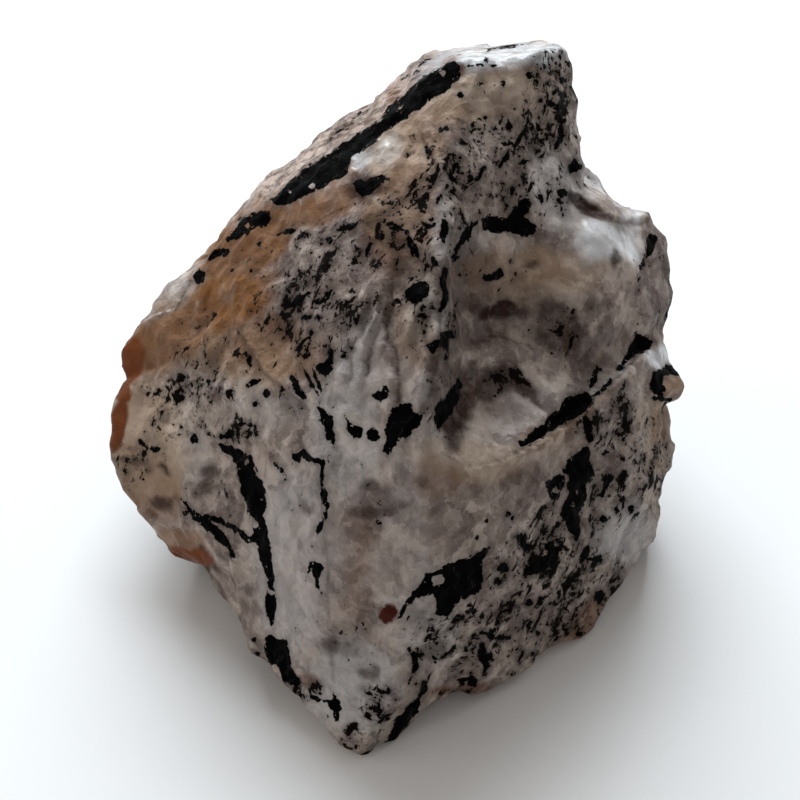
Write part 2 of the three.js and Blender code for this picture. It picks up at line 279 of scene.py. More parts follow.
# Brown stains, and painted shade: deep in the hollow, on its left wall, in the furrow under the glassy
# lump, and between the laths.
BROWN_STAIN_AND_SHADE = [
    (368, 185, 20, 12, -25, 0.9), (470, 262, 26, 20, 0, 0.5), (499, 312, 29, 14, -18, 1.0),
    (474, 322, 28, 28, -30, 0.7), (586, 210, 26, 10, 22, 1.0), (456, 416, 16, 32, 10, 0.95),
    (458, 424, 9, 16, 15, 1.0), (612, 222, 20, 6, 22, 0.7), (391, 345, 5, 24, -8, 0.4),
    (388, 315, 4, 14, 10, 0.4), (492, 302, 24, 10, -20, 0.6), (535, 268, 8, 5, 0, 0.7),
    (552, 326, 22, 30, -15, 0.8), (572, 335, 16, 28, -10, 0.85), (508, 378, 26, 12, 15, 0.9),
    (484, 388, 20, 14, -20, 0.85), (528, 394, 14, 8, 40, 0.8), (615, 262, 8, 10, 0, 0.9),
    (470, 290, 30, 14, -20, 0.6), (444, 340, 14, 70, 5, 0.6), (208, 468, 10, 9, 20, 0.75),
    (208, 488, 13, 8, 10, 0.75), (163, 503, 10, 8, 40, 0.8), (161, 472, 5, 5, 0, 0.9),
    (200, 562, 26, 8, 16, 0.9), (129, 460, 13, 6, 10, 0.7), (136, 446, 5, 4, 0, 0.6),
    (226, 552, 9, 5, 0, 0.4), (594, 368, 24, 18, 0, 0.5), (545, 300, 44, 12, 0, 0.4),
    (466, 372, 14, 16, 0, 0.7), (125, 345, 8, 8, 0, 0.6), (600, 305, 12, 8, 0, 0.4),
    (402, 258, 10, 18, -20, 0.6), (345, 235, 20, 10, -20, 0.4), (380, 218, 16, 8, -20, 0.5),
    (374, 488, 8, 6, 0, 0.5), (386, 508, 22, 4, -6, 0.6), (364, 513, 16, 3, -8, 0.6),
    (421, 482, 7, 8, 0, 0.5), (398, 480, 6, 8, 0, 0.35), (312, 508, 9, 5, 10, 0.4),
    (300, 546, 6, 5, 0, 0.4), (330, 648, 9, 10, 0, 0.55), (349, 650, 7, 7, 0, 0.3),
    (369, 676, 9, 7, -20, 0.6), (252, 612, 12, 9, 0, 0.45), (248, 590, 9, 8, 0, 0.35),
    (228, 470, 8, 10, 20, 0.35), (372, 524, 14, 4, -10, 0.4), (338, 470, 7, 5, 0, 0.3),
    (430, 648, 12, 10, 0, 0.35),
]
PURPLE = [
    (340, 250, 60, 40, -30, 0.55), (300, 305, 50, 40, 0, 0.5), (385, 270, 22, 26, 0, 0.75),
    (372, 505, 26, 26, 0, 0.35), (375, 487, 26, 8, -5, 0.35), (330, 648, 10, 12, 0, 0.8),
    (369, 676, 10, 8, 0, 0.75), (247, 590, 14, 20, 0, 0.45), (250, 620, 12, 16, 0, 0.5),
    (222, 510, 40, 20, 20, 0.3), (160, 500, 20, 30, -30, 0.35), (380, 205, 26, 14, -20, 0.6),
    (460, 170, 60, 40, -10, 0.3), (654, 290, 18, 46, 0, 0.55), (560, 350, 60, 26, 0, 0.3),
    (508, 404, 36, 17, -10, 0.5), (310, 470, 40, 30, 0, 0.2), (345, 600, 26, 34, 0, 0.3),
    (386, 704, 22, 16, -20, 0.6), (525, 490, 40, 30, 0, 0.3), (425, 520, 30, 60, 0, 0.15),
    (310, 505, 12, 9, 0, 0.5), (325, 540, 14, 20, 20, 0.35), (550, 600, 70, 40, 0, 0.35),
    (620, 440, 40, 40, 0, 0.3), (440, 64, 30, 12, -25, 0.5), (414, 72, 12, 8, -30, 0.5),
]
# White quartz, and painted highlights: on the glassy lump, at the edge of the right lobe, in the crest
# band, and on the lit faces of the laths.
WHITE_AND_HIGHLIGHTS = [
    (388, 148, 15, 11, -25, 1.0), (363, 160, 14, 9, -30, 0.8), (334, 186, 16, 8, -30, 0.7),
    (510, 55, 66, 13, -4, 1.0), (605, 243, 30, 20, 10, 1.0), (560, 190, 30, 40, -10, 0.45),
    (661, 355, 13, 9, 15, 1.0), (300, 560, 44, 90, 0, 0.5), (430, 620, 30, 50, 0, 0.25),
    (400, 560, 30, 90, 0, 0.25), (350, 690, 46, 46, 0, 0.6), (150, 440, 28, 50, 0, 0.5),
    (500, 96, 50, 18, 0, 0.35), (425, 460, 40, 50, 0, 0.2), (540, 410, 50, 22, -25, 0.15),
    (625, 535, 32, 30, 0, 0.5), (627, 363, 8, 4, -35, 1.0), (400, 385, 40, 26, 0, 0.3),
    (270, 400, 40, 30, 0, 0.2), (178, 290, 14, 12, -40, 0.6), (185, 296, 16, 2.6, 117, 1.0),
    (168, 313, 11, 2.8, 164, 1.0), (195, 299, 18, 2.6, 82, 1.0), (600, 180, 50, 12, 25, 0.4),
    (345, 440, 34, 70, 0, 0.45), (140, 320, 30, 10, -40, 0.2), (312, 188, 14, 8, -30, 1.0),
    (445, 62, 34, 12, -25, 0.85), (425, 315, 18, 30, 20, 0.5), (365, 350, 26, 44, 20, 0.45),
    (378, 352, 8, 26, 10, 0.6), (432, 318, 9, 17, -25, 0.85), (395, 370, 26, 20, 0, 0.4),
    (440, 225, 10, 40, 0, 0.4), (630, 235, 14, 30, 15, 0.5), (642, 224, 4, 14, 10, 1.0),
    (610, 192, 30, 8, 24, 0.6), (320, 640, 24, 20, 0, 0.2), (450, 240, 40, 20, 0, 0.15),
    (180, 455, 30, 30, 0, 0.25),
]

# Small ledges in the broken stone, each with its height in millimetres. The stone steps up to the left of
# the line, going along it.
LEDGES = [
    (0.5, [(540, 440), (500, 462), (470, 468), (440, 455)]),
    (0.6, [(405, 440), (430, 390), (440, 345), (436, 300), (446, 250), (455, 215)]),
    (0.7, [(350, 380), (349, 352), (362, 326), (372, 300)]),
    (0.9, [(365, 374), (371, 345), (381, 318), (386, 298)]),
    (1.1, [(398, 402), (397, 376), (395, 352), (386, 342), (385, 326), (391, 306), (390, 286)]),
    (0.8, [(428, 394), (432, 362), (423, 338), (429, 302)]),
    (0.7, [(413, 344), (416, 326), (424, 312)]),
    (0.7, [(645, 350), (622, 376), (598, 396), (570, 424), (530, 446)]),
    (0.6, [(530, 350), (500, 338), (470, 345)]),
    (0.7, [(192, 282), (178, 310), (160, 316)]),
    (0.5, [(566, 190), (590, 208), (620, 222), (645, 222)]),
    (0.5, [(300, 440), (322, 470), (325, 520), (330, 560), (330, 620), (335, 680)]),
    (0.5, [(640, 280), (646, 240), (645, 215)]),
    (0.5, [(600, 470), (640, 450), (665, 470)]),
    (0.5, [(205, 560), (230, 600), (262, 650)]),
    (0.5, [(420, 130), (440, 170), (430, 205)]),
    (0.5, [(240, 330), (265, 372), (300, 400)]),
]

# How far a ledge runs out into the stone, in steps of the view plane for each millimetre of its height.
LEDGE_REACH = 30.0

# The lower edge of the narrow weathered face along the crest, from the top down, and where the face ends
# on the right.
CREST_LINE = [
    (454, 59), (425, 75), (402, 95), (384, 117), (347, 140), (310, 165), (277, 195), (240, 218), (205, 262),
]
CREST_END = 440

# Where the stone is smooth, as if worn by water, and where it shines, in rows like those of the stains.
SMOOTH = [
    (540, 350, 110, 90, -20, 0.75), (600, 230, 60, 60, 0, 0.9), (520, 280, 70, 40, 0, 0.6),
    (186, 551, 30, 16, 14, 1.0), (130, 380, 20, 60, 0, 1.0), (510, 50, 60, 14, 0, 0.4),
]
GLOSSY = [
    (600, 240, 40, 22, 10, 1.0), (628, 192, 34, 7, 24, 0.5), (376, 152, 34, 16, -30, 0.8),
    (661, 356, 16, 10, 15, 0.9), (510, 52, 66, 13, -4, 0.7), (340, 420, 30, 60, 0, 0.2),
    (540, 420, 40, 20, -25, 0.3), (310, 190, 22, 10, -30, 0.8), (170, 300, 26, 26, -40, 0.7),
]

# The relief: the strength of its chips and ridges, how far the minerals and the gash are sunk, and how high
# above the resting face it is whole, all in millimetres but the first.
RELIEF_STRENGTH = 0.55
MINERAL_DEPTH = 0.05
GASH_DEPTH = 0.8
FOOT_HEIGHT = 1.2

# Where the skin gets finer: the distance from a rim or ledge, in steps of the view plane, and the longest
# edge that is left whole there, in millimetres.
RIM_BAND, RIM_EDGE = 2.2, 0.42
LEDGE_BAND, LEDGE_EDGE = 2.5, 0.3

# The black prisms on the sides that the eye does not see, with their least and most distance from the
# middle of the stone, in millimetres.
HIDDEN_PRISMS = 420
HIDDEN_SEED = 11
HIDDEN_LEAST, HIDDEN_MOST = 24, 40
STONE_MIDDLE = np.array([0, 4, 24])

# Colours, as shares of linear red, green and blue.
TONES = {
    "dull grain": (0.180, 0.134, 0.116),
    "pale grain": (0.43, 0.352, 0.305),
    "fine grain": (0.52, 0.45, 0.41),
    "bright crystal": (0.56, 0.475, 0.42),
    "dim crystal": (0.125, 0.092, 0.082),
    "smudge": (0.105, 0.076, 0.066),
    # The white tone also paints highlights.
    "white_and_highlight": (0.63, 0.63, 0.645),
    "purple": (0.120, 0.088, 0.088),
    "sugar": (0.75, 0.70, 0.66),
    "crest dark": (0.10, 0.066, 0.052),
    "crest pale": (0.52, 0.40, 0.34),
    "cream dark": (0.30, 0.213, 0.146),
    "cream pale": (0.62, 0.468, 0.325),
    "ochre dark": (0.128, 0.046, 0.014),
    "ochre pale": (0.27, 0.128, 0.047),
    # The brown tone also paints shade.
    "brown_stain_and_shade": (0.024, 0.009, 0.006),
    # The crease tone paints shade and stain at the foot of the ledges.
    "crease_shade_and_stain": (0.046, 0.026, 0.020),
    "rust dark": (0.075, 0.021, 0.007),
    "rust pale": (0.225, 0.066, 0.021),
    "murk": (0.046, 0.034, 0.029),
    "speck": (0.004, 0.0025, 0.0018),
    "ink": (0.0005, 0.0005, 0.0005),
    # The lustre tone is a painted sheen on the black minerals.
    "painted_sheen": (0.020, 0.018, 0.016),
    "garnet": (0.055, 0.007, 0.003),
}
FLOOR_TONE = (0.86, 0.86, 0.86, 1)
SKY_TONE = (1.0, 0.95, 0.905, 1)
SKY_STRENGTH = 0.32

# How far the floor reaches, how far off the lights are and how high they aim, in metres.
FLOOR_REACH = 3.0
LIGHT_DISTANCE = 0.9
LIGHT_AIM = 0.025


def look_up_cell(cells, kind):
    """A number from 0 to 1 for each whole-numbered cell of space, another one for each kind."""
    x, y, z = np.moveaxis(cells.astype(np.int64), -1, 0)
    mixed = x * 73856093 ^ y * 19349663 ^ z * 83492791 ^ kind * 2971215073
    mixed = (mixed ^ (mixed >> 13)) * 1274126177 & 0x7FFFFFFF
    mixed = (mixed ^ (mixed >> 11)) * 668265263 & 0x7FFFFFFF
    return (mixed & 0xFFFFFF) / 0xFFFFFF


def gradient_noise(points, kind):
    """Smooth noise from about -1 to 1, another one for each kind."""
    home = np.floor(points)
    inside = points - home
    fade = inside**3 * (inside * (inside * 6 - 15) + 10)
    total = np.zeros(len(points))
    for corner in np.ndindex(2, 2, 2):
        corner = np.array(corner)
        cell = home + corner
        slope = np.stack([look_up_cell(cell, kind + axis) * 2 - 1 for axis in range(3)], axis=1)
        share = np.prod(np.where(corner, fade, 1 - fade), axis=1)
        total += share * np.sum(slope * (inside - corner), axis=1)
    return total * 1.6


def layered_noise(points, wavelength, layers, kind):
    """Noise with a longest wavelength, in millimetres, and finer and weaker layers on it."""
    total = np.zeros(len(points))
    for layer in range(layers):
        total += gradient_noise(points * (2.03**layer / wavelength), kind + 7 * layer) * 0.55**layer
    return total


def chipped(points, size, kind, crispness=14):
    """Flat chips: each patch of space tilts and shifts the surface its own way."""
    scaled = points / size
    home = np.floor(scaled)
    height = np.zeros(len(points))
    shares = np.zeros(len(points))
    for step in np.ndindex(3, 3, 3):
        cell = home + np.array(step) - 1
        middle = np.stack([look_up_cell(cell, kind + axis) for axis in range(3)], axis=1)
        away = scaled - cell - 0.1 - 0.8 * middle
        tilt = np.stack([look_up_cell(cell, kind + 3 + axis) - 0.5 for axis in range(3)], axis=1)
        share = np.exp(-crispness * np.sum(away**2, axis=1))
        height += share * (np.sum(tilt * away, axis=1) + 0.5 * (look_up_cell(cell, kind + 6) - 0.5))
        shares += share
    return height / np.maximum(shares, 1e-12)


def to_view(points):
    """Where points of the stone, in millimetres, show in the view plane."""
    up = points[:, 2] - LOOK_HEIGHT
    near = 1 - (up * RISE - points[:, 1] * LEVEL) / EYE_DISTANCE
    right = VIEW_MIDDLE + STEPS_PER_MM * points[:, 0] / near
    down = VIEW_MIDDLE - STEPS_PER_MM * (points[:, 1] * RISE + up * LEVEL) / near
    return np.stack([right, down], axis=1)


def soft_ellipses(view, areas):
    """How strongly the areas cover each point, from 0 to 1."""
    cover = np.zeros(len(view))
    for x, y, half_x, half_y, turn, strength in areas:
        cos, sin = math.cos(math.radians(turn)), math.sin(math.radians(turn))
        dx, dy = view[:, 0] - x, view[:, 1] - y
        along = (dx * cos + dy * sin) / half_x
        across = (dy * cos - dx * sin) / half_y
        distance = np.sqrt(along**2 + across**2)
        edge = np.clip((1.35 - distance) / 0.7, 0, 1)
        cover = np.maximum(cover, strength * edge * edge * (3 - 2 * edge))
    return cover


def segment_distance(view, start, end):
    """The distance to a line, and how far along it the nearest point is, from 0 to 1."""
    run = end - start
    along = np.clip((view - start) @ run / max(run @ run, 1e-9), 0, 1)
    return np.linalg.norm(view - start - along[:, None] * run, axis=1), along


def in_patch(view, outline):
    """The distance inside the outline, and below zero outside it."""
    corners = np.array(outline, float)
    near = np.all((view > corners.min(0) - MARK_REACH) & (view < corners.max(0) + MARK_REACH), axis=1)
    depth = np.full(len(view), -MARK_REACH)
    close = view[near]
    nearest = np.full(len(close), 1e9)
    inside = np.zeros(len(close), bool)
    for start, end in zip(corners, np.roll(corners, -1, axis=0)):
        nearest = np.minimum(nearest, segment_distance(close, start, end)[0])
        crosses = (start[1] > close[:, 1]) != (end[1] > close[:, 1])
        rise = end[1] - start[1] if end[1] != start[1] else 1e-9
        crossing = start[0] + (close[:, 1] - start[1]) / rise * (end[0] - start[0])
        inside ^= crosses & (close[:, 0] < crossing)
    depth[near] = np.where(inside, nearest, -nearest)
    return depth


def in_vein(view, line):
    """The distance inside a line of changing width, and below zero outside it."""
    points = np.array(line, float)
    low, high = points[:, :2].min(0) - MARK_REACH, points[:, :2].max(0) + MARK_REACH
    near = np.all((view > low) & (view < high), axis=1)
    depth = np.full(len(view), -MARK_REACH)
    close = view[near]
    best = np.full(len(close), -MARK_REACH)
    for start, end in zip(points, points[1:]):
        distance, along = segment_distance(close, start[:2], end[:2])
        best = np.maximum(best, start[2] + along * (end[2] - start[2]) - distance)
    depth[near] = best
    return depth


def mark_depth(view):
    """How far inside the listed black minerals each point is, in steps of the view plane."""
    depth = np.full(len(view), -MARK_REACH)
    for outline in PATCHES.values():
        depth = np.maximum(depth, in_patch(view, outline))
    for line in VEINS:
        depth = np.maximum(depth, in_vein(view, line))
    for x, y, half_width in DOTS:
        depth = np.maximum(depth, half_width - np.hypot(view[:, 0] - x, view[:, 1] - y))
    for x, y, half_width in GRAINS:
        depth = np.minimum(depth, np.hypot(view[:, 0] - x, view[:, 1] - y) - half_width)
    return depth


def ledge_shape(view):
    """How far the ledges stand out, in millimetres, and how strong the painted shade and stain at their
    foot is, up to 1.
    """
    height, crease_shade_and_stain = np.zeros(len(view)), np.zeros(len(view))
    for tall, line in LEDGES:
        points = np.array(line, float)
        nearest, side = np.full(len(view), 1e9), np.zeros(len(view))
        for start, end in zip(points, points[1:]):
            distance = segment_distance(view, start, end)[0]
            run = (end - start) / np.linalg.norm(end - start)
            offset = (view - start) @ np.array([run[1], -run[0]])
            side = np.where(distance < nearest, offset, side)
            nearest = np.minimum(nearest, distance)
        slope = np.clip(1 - nearest / (LEDGE_REACH * tall), 0, 1)
        height += tall * slope * np.clip(0.5 + side / 3, 0, 1)
        foot = np.clip(1 - np.abs(side + 2) / 3.5, 0, 1) * np.clip(1 - (nearest - 2) / 3, 0, 1)
        crease_shade_and_stain = np.maximum(crease_shade_and_stain, foot * min(tall, 1))
    return height, crease_shade_and_stain


def rim_distance(view):
    """How far each point is from the nearest rim of a listed mineral."""
    return np.abs(mark_depth(view))


def ledge_distance(view):
    """How far each point is from the nearest ledge."""
    nearest = np.full(len(view), 1e9)
    for _, line in LEDGES:
        points = np.array(line, float)
        for start, end in zip(points, points[1:]):
            nearest = np.minimum(nearest, segment_distance(view, start, end)[0])
    return nearest


def sideways(points, wavelength, layers, kind):
    """Two noises for each point, to shift its place in the view plane by."""
    return np.stack([layered_noise(points, wavelength, layers, kind + step) for step in (0, 100)], axis=1)


def crooked(view, points):
    """The view places, shifted a little to and fro, so that the ledges do not run straight."""
    return view + 2 * layered_noise(points, 1.6, 2, 1400)[:, None]


def facing(points, normals):
    """1 where the surface faces the eye squarely, 0 where it is edge on, and less where it faces away."""
    to_eye = EYE - points
    to_eye /= np.linalg.norm(to_eye, axis=1, keepdims=True)
    return np.sum(to_eye * normals, axis=1)


def coordinates(mesh):
    points = np.empty(len(mesh.vertices) * 3)
    mesh.vertices.foreach_get("co", points)
    return points.reshape(-1, 3) / MM


def set_coordinates(mesh, points):
    mesh.vertices.foreach_set("co", (points * MM).ravel())
    mesh.update()


def normals_of(mesh):
    normals = np.empty(len(mesh.vertices) * 3)
    mesh.vertices.foreach_get("normal", normals)
    return normals.reshape(-1, 3)


def edges_of(mesh):
    edges = np.empty(len(mesh.edges) * 2, np.int64)
    mesh.edges.foreach_get("vertices", edges)
    return edges.reshape(-1, 2)


def smoothed(values, edges, rounds, strength):
    """The values at the vertices, moved towards the mean of their neighbours' in each round."""
    count = np.bincount(edges.ravel(), minlength=len(values))[:, None]
    for _ in range(rounds):
        total = np.zeros_like(values)
        for axis in range(values.shape[1]):
            for a, b in ((0, 1), (1, 0)):
                total[:, axis] += np.bincount(edges[:, a], values[edges[:, b], axis], len(values))
        values = values + strength * (total / count - values)
    return values


def split_edges(mesh, chosen=None):
    """Halves all edges, or the chosen ones, and keeps every face a triangle."""
    bm = bmesh.new()
    bm.from_mesh(mesh)
    bm.edges.ensure_lookup_table()
    edges = list(bm.edges) if chosen is None else [bm.edges[i] for i in np.flatnonzero(chosen)]
    bmesh.ops.subdivide_edges(bm, edges=edges, cuts=1, use_grid_fill=True)
    bmesh.ops.triangulate(bm, faces=[face for face in bm.faces if len(face.verts) > 3])
    bm.to_mesh(mesh)
    bm.free()


def bare_copy(node):
    """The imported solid's mesh as a new one, with its split corners joined."""
    mesh = bpy.data.meshes.new("rock_skin")
    bm = bmesh.new()
    bm.from_mesh(node.data)
    bm.transform(node.matrix_world)
    bmesh.ops.remove_doubles(bm, verts=bm.verts, dist=1e-6)
    bm.to_mesh(mesh)
    bm.free()
    return mesh


def relief(points, smooth):
    """How far the broken surface stands out, in millimetres."""
    rough = 1 - 0.75 * smooth
    height = 1.0 * chipped(points, size=4.5, kind=100)
    height += 1.1 * chipped(points, size=2.1, kind=200) * rough
    height += 0.22 * layered_noise(points, wavelength=3.2, layers=3, kind=300) * rough
    ridges = 1 - np.abs(layered_noise(points, wavelength=5.5, layers=2, kind=400))
    height += 0.25 * ridges**4 * rough
    height += 0.10 * layered_noise(points, wavelength=0.9, layers=2, kind=500) * rough
    return height * RELIEF_STRENGTH


def carve(mesh):
    """Raises the broken surface on the skin, and keeps the resting face flat."""
    points = coordinates(mesh)
    points = smoothed(points, edges_of(mesh), 3, 0.5)
    set_coordinates(mesh, points)
    normals = smoothed(normals_of(mesh), edges_of(mesh), 2, 0.5)
    normals /= np.linalg.norm(normals, axis=1, keepdims=True)
    view = to_view(points)
    seen = facing(points, normals) > 0.05
    smooth = soft_ellipses(view, SMOOTH) * seen
    height = relief(points, smooth)
    sunk = np.clip(mark_depth(view) / 4, 0, 1) * seen
    height += ledge_shape(crooked(view, points))[0] * seen
    height -= MINERAL_DEPTH * sunk
    gash = np.maximum(in_patch(view, PATCHES["gash"]), in_patch(view, PATCHES["gash_far"]))
    height -= GASH_DEPTH * np.clip((gash + 2) / 6, 0, 1) * seen
    lift = np.clip(points[:, 2] / FOOT_HEIGHT, 0, 1)
    points = points + normals * (height * lift)[:, None]
    points[:, 2] = np.maximum(points[:, 2], 0)
    set_coordinates(mesh, points)


def refine(mesh, distance, band, limit):
    """Halves the edges over the limit that face the eye and are within the band of a rim or ledge."""
    points = coordinates(mesh)
    edges = edges_of(mesh)
    middles = (points[edges[:, 0]] + points[edges[:, 1]]) / 2
    toward = facing(middles, normals_of(mesh)[edges[:, 0]])
    length = np.linalg.norm(points[edges[:, 0]] - points[edges[:, 1]], axis=1)
    chosen = (toward > 0.1) & (distance(to_view(middles)) < band) & (length > limit)
    split_edges(mesh, chosen)


def paint(mesh):
    """Stores, at every vertex, what the material needs to know about the minerals, stains, painted shade
    and highlights.
    """
    points = coordinates(mesh)
    normals = normals_of(mesh)
    seen = np.clip((facing(points, normals) - 0.02) / 0.2, 0, 1)
    view = to_view(points)
    wander = sideways(points, 5, 3, 600)
    loose = view + 9 * wander
    tight = view + 1.1 * sideways(points, 0.9, 2, 800)
    swell = layered_noise(points, 16, 3, 1000)
    other = layered_noise(points, 11, 3, 1100)
    third = layered_noise(points, 13, 3, 1200)

    def behind(noise, gain, offset, most):
        """A stain on the unseen sides, from a noise."""
        return (1 - seen) * np.clip(gain * noise + offset, 0, most)

    black = np.where(seen > 0.02, mark_depth(tight), -MARK_REACH)
    black = np.maximum(black, np.where(seen < 0.9, hidden_marks(points), -MARK_REACH))
    speckled = np.zeros(len(points))
    for x, y, half_x, half_y, amount in SPECKLED:
        reach = np.hypot((loose[:, 0] - x) / half_x, (loose[:, 1] - y) / half_y)
        speckled = np.maximum(speckled, amount * np.clip((1.3 - reach) / 0.55, 0, 1))
    x, y, half_width = GARNET
    garnet = half_width - np.hypot(tight[:, 0] - x, tight[:, 1] - y)
    layers = {
        "black": black / STEPS_PER_MM,
        "garnet": np.where(seen > 0.5, garnet, -MARK_REACH) / STEPS_PER_MM,
        "speckled": speckled * seen + behind(swell, 1.2, 0.5, 1),
        "ochre": soft_ellipses(loose, OCHRE) * seen + behind(other, 1.1, -0.1, 0.7),
        "cream": soft_ellipses(loose, CREAM) * seen + behind(third, 1.2, 0.1, 0.6),
        "rust": soft_ellipses(view + 3 * wander, RUST) * seen + behind(third, 1.6, -1.2, 0.4),
        # The brown layer holds painted shade as well as stains, the white one painted highlights as well as
        # quartz, and the crease one painted shade and stain.
        "brown_stain_and_shade": soft_ellipses(loose, BROWN_STAIN_AND_SHADE) * seen + behind(third, -3, -1.2, 0.8),
        "purple": soft_ellipses(loose, PURPLE) * seen + behind(other, -1.6, 0, 0.8),
        "white_and_highlight": soft_ellipses(loose, WHITE_AND_HIGHLIGHTS) * seen + behind(swell, -0.9, 0, 0.5),
        "smooth": soft_ellipses(loose, SMOOTH) * seen,
        "glossy": soft_ellipses(loose, GLOSSY) * seen,
        "crest": crest_face(view) * seen,
        "crease_shade_and_stain": ledge_shape(crooked(view, points))[1] * seen,
    }
    for name, values in layers.items():
        attribute = mesh.attributes.new(name, "FLOAT", "POINT")
        attribute.data.foreach_set("value", values.astype(np.float32))


def crest_face(view):
    """1 on the narrow weathered face between the black band and the outline of the crest."""
    line = np.array(CREST_LINE[::-1], float)
    above = np.interp(view[:, 0], line[:, 0], line[:, 1]) - view[:, 1]
    left = np.clip((CREST_END - view[:, 0]) / 30, 0, 1)
    return np.clip(above / 4, 0, 1) * left


def hidden_marks(points):
    """How far inside the black prisms of the unseen sides each point is, in steps of the view plane."""
    rng = np.random.default_rng(HIDDEN_SEED)
    depth = np.full(len(points), -MARK_REACH)
    for _ in range(HIDDEN_PRISMS):
        direction = rng.normal(size=3)
        direction /= np.linalg.norm(direction)
        middle = direction * rng.uniform(HIDDEN_LEAST, HIDDEN_MOST) + STONE_MIDDLE
        along = np.cross(direction, rng.normal(size=3)) + 0.3 * rng.normal(size=3)
        along /= np.linalg.norm(along)
        half_width = rng.uniform(0.25, 0.7) ** 1.3 * 2.2
        half_length = half_width * rng.uniform(1.2, 9.0)
        away = points - middle
        run = np.clip(away @ along, -half_length, half_length)
        distance = np.linalg.norm(away - run[:, None] * along, axis=1)
        taper = 1 - 0.6 * np.abs(run) / half_length
        depth = np.maximum(depth, (half_width * taper - distance) * STEPS_PER_MM)
    return depth + 2.5 * layered_noise(points, 2.2, 2, 1300)


class Nodes:
    """Short names for building a material's nodes."""

    def __init__(self, name):
        self.material = bpy.data.materials.new(name)
        self.material.use_nodes = True
        self.tree = self.material.node_tree
        self.shader = self.tree.nodes["Principled BSDF"]
        self.place = self.add("ShaderNodeTexCoord").outputs["Object"]

    def add(self, kind, inputs=None, **settings):
        """A new node with these settings, and with values or links in its inputs."""
        node = self.tree.nodes.new(kind)
        for name, value in settings.items():
            setattr(node, name, value)
        self.feed(node, inputs or {})
        return node

    def feed(self, node, inputs):
        """Puts a value or a link in each named or numbered input of a node."""
        for name, value in inputs.items():
            if isinstance(value, bpy.types.NodeSocket):
                self.tree.links.new(value, node.inputs[name])
            else:
                node.inputs[name].default_value = value

    def layer(self, name):
        """What the skin stores at its vertices under this name."""
        return self.add("ShaderNodeAttribute", attribute_name=name).outputs["Fac"]

    def math(self, operation, first, second=0.0, clamp=False):
        node = self.add("ShaderNodeMath", {0: first, 1: second}, operation=operation, use_clamp=clamp)
        return node.outputs[0]

    def line(self, value, slope, start):
        """The start where the value is 0, and higher by the slope where it is 1."""
        inputs = {0: value, 1: slope, 2: start}
        return self.add("ShaderNodeMath", inputs, operation="MULTIPLY_ADD").outputs[0]

    def ramp(self, value, low, high):
        """0 below low, 1 above high, and smooth between."""
        inputs = {"Value": value, "From Min": low, "From Max": high}
        return self.add("ShaderNodeMapRange", inputs, interpolation_type="SMOOTHSTEP").outputs["Result"]

    def noise(self, scale, detail=3.0, rough=0.55, stretch=None, turn=(0, 0, 0), warp=0.0):
        """A noise from 0 to 1, which may be stretched, turned by degrees about x, y and z, and warped."""
        place = self.place
        if stretch:
            angles = [math.radians(angle) for angle in turn]
            inputs = {"Vector": place, "Rotation": angles, "Scale": stretch}
            place = self.add("ShaderNodeMapping", inputs, vector_type="TEXTURE").outputs["Vector"]
        inputs = {"Vector": place, "Scale": scale, "Detail": detail, "Roughness": rough, "Distortion": warp}
        return self.add("ShaderNodeTexNoise", inputs).outputs["Fac"]

    def crystals(self, scale):
        """A number from 0 to 1 for each crystal of a crooked mosaic."""
        crook = self.add("ShaderNodeTexNoise", {"Vector": self.place, "Scale": scale * 1.6, "Detail": 2.0})
        inputs = {0: crook.outputs["Color"], 1: [0.9 / scale] * 3, 2: self.place}
        shift = self.add("ShaderNodeVectorMath", inputs, operation="MULTIPLY_ADD")
        inputs = {"Vector": shift.outputs["Vector"], "Scale": scale}
        mosaic = self.add("ShaderNodeTexVoronoi", inputs, feature="F1")
        return self.add("ShaderNodeSeparateColor", {"Color": mosaic.outputs["Color"]}).outputs["Red"]

    def mix(self, share, first, second):
        """The first colour where the share is 0, the second where it is 1. Tones are given by name."""
        inputs = {0: share}
        for number, colour in ((6, first), (7, second)):
            inputs[number] = (*TONES[colour], 1) if isinstance(colour, str) else colour
        return self.add("ShaderNodeMix", inputs, data_type="RGBA").outputs[2]

    def tint(self, colour, share, most, tone):
        """The colour, moved towards a tone by a share of the most that it may move."""
        return self.mix(self.math("MULTIPLY", share, most), colour, tone)


def pale_grains(n):
    """The colour of the clean stone: grey feldspar mottled with milky and glassy quartz."""
    cloud = n.noise(190, 4, 0.62, warp=1.2)
    fine = n.noise(900, 3, 0.6)
    colour = n.mix(n.ramp(cloud, 0.36, 0.66), "dull grain", "pale grain")
    colour = n.tint(colour, n.ramp(fine, 0.45, 0.75), 0.4, "fine grain")
    for scale, share in ((230, 0.5), (640, 0.4)):
        tone = n.crystals(scale)
        colour = n.tint(colour, n.ramp(tone, 0.45, 1.0), share, "bright crystal")
        colour = n.tint(colour, n.ramp(tone, 0.45, 0.0), share, "dim crystal")
    smudge = n.ramp(n.noise(420, 4, 0.65), 0.48, 0.70)
    colour = n.tint(colour, smudge, 0.5, "smudge")
    # White quartz, with painted highlights.
    colour = n.tint(colour, n.layer("white_and_highlight"), 0.85, "white_and_highlight")
    colour = n.tint(colour, n.layer("purple"), 0.65, "purple")
    sugar = n.ramp(n.noise(3600, 2, 0.5), 0.66, 0.74)
    return n.tint(colour, sugar, 0.3, "sugar")


